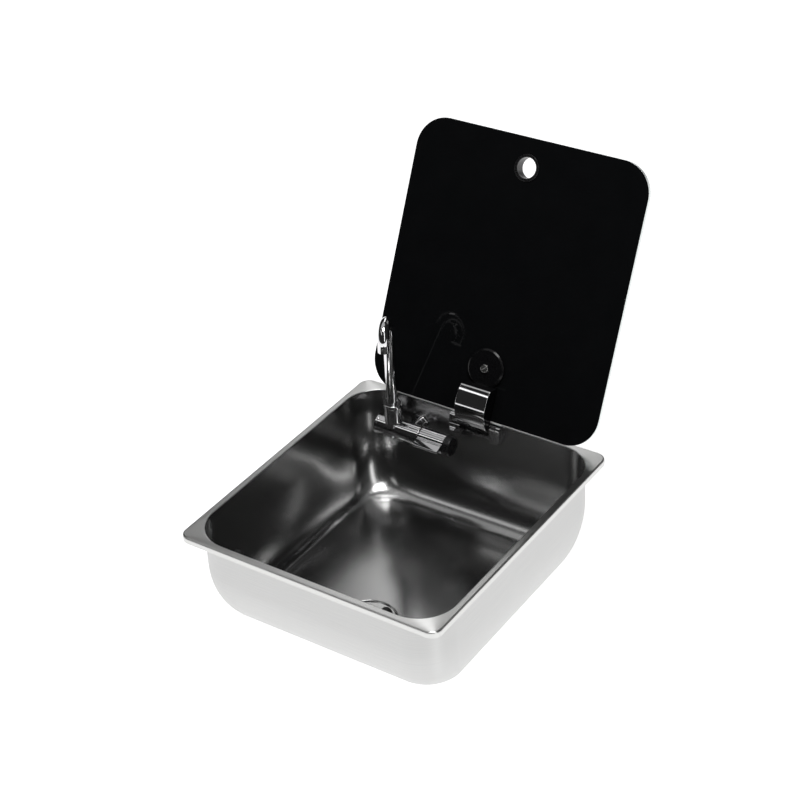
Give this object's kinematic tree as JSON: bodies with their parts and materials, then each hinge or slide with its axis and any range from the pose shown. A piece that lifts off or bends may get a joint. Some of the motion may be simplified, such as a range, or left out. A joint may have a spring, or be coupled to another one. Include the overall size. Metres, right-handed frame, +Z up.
{
  "type": "drop-in sink with folding tap and glass lid",
  "caption": "Drop-in steel sink bowl for a camper worktop, with a tap that folds down into the bowl and a hinged dark glass lid that closes over it.",
  "frame": {"origin": "centre of the worktop cut-out, in the plane of the worktop, where the foot of the rim stands", "axes": "+X to the right along the front, +Y from the front to the back with the hinge at the back, +Z up out of the bowl"},
  "size_m": [0.325, 0.4818, 0.4508],
  "materials": {
    "brushed_pan": "stainless steel with a fine brushed grain outside and a duller drawn finish inside",
    "polished_steel": "bright stainless steel",
    "zinc_steel": "zinc-plated steel",
    "chrome": "polished chrome plate",
    "brass": "turned brass",
    "black_rubber": "matt black rubber",
    "black_plastic": "moulded black plastic",
    "white_plastic": "self-lubricating white plastic",
    "black_cast": "black-coated casting",
    "black_glass": "toughened glass, black all through to the eye, with a pale ground edge"
  },
  "bodies": {
    "root": {"sink_bowl": "brushed_pan", "lid_buffers": "black_rubber", "strainer": "polished_steel", "drain_gasket": "black_rubber", "waste_body": "black_plastic", "drain_screw": "polished_steel", "hinge_bracket": "chrome", "hinge_pin": "polished_steel", "backing_plate": "zinc_steel", "bracket_screws": "zinc_steel", "tap_body": "chrome", "tap_escutcheon": "chrome", "tap_gasket": "black_rubber", "tap_lock_nut": "zinc_steel", "inlet_tail": "brass", "valve_cartridge": "brass", "knob_ring": "black_plastic"},
    "lid": {"glass_lid": "black_glass", "finger_ring": "black_plastic", "hinge_arm": "black_cast", "hinge_cover": "chrome", "clamp_pads": "black_rubber", "clamp_cap": "black_cast", "clamp_screw": "polished_steel", "hinge_bushes": "white_plastic"},
    "tap_elbow": {"elbow_barrel": "chrome", "elbow_seals": "black_rubber", "elbow_end_cap": "chrome", "riser_collar": "chrome", "collar_set_screw": "polished_steel"},
    "spout": {"spout_tube": "chrome", "aerator": "chrome"},
    "knob": {"tap_knob": "chrome", "valve_spindle": "brass", "knob_screw": "zinc_steel", "knob_end_cap": "black_plastic"}
  },
  "joints": [
    {"name": "lid_hinge", "type": "hinge", "parent": "root", "child": "lid", "pos_m": [0, 0.1621, 0.0062], "axis": [1, 0, 0], "range_deg": [0, 115.3]},
    {"name": "tap_fold", "type": "hinge", "parent": "root", "child": "tap_elbow", "pos_m": [-0.11, 0.146, -0.026], "axis": [1, 0, 0], "range_deg": [0, 90]},
    {"name": "spout_swivel", "type": "hinge", "parent": "tap_elbow", "child": "spout", "pos_m": [-0.104, 0.146, 0.02], "axis": [0, 0, 1], "range_deg": [-85, 35]},
    {"name": "knob_turn", "type": "hinge", "parent": "root", "child": "knob", "pos_m": [-0.05, 0.146, -0.026], "axis": [1, 0, 0], "range_deg": [-90, 0]}
  ],
  "couplings": [
    {"joint": "tap_fold", "follows": "lid_hinge", "ratio": 0.7804}
  ]
}
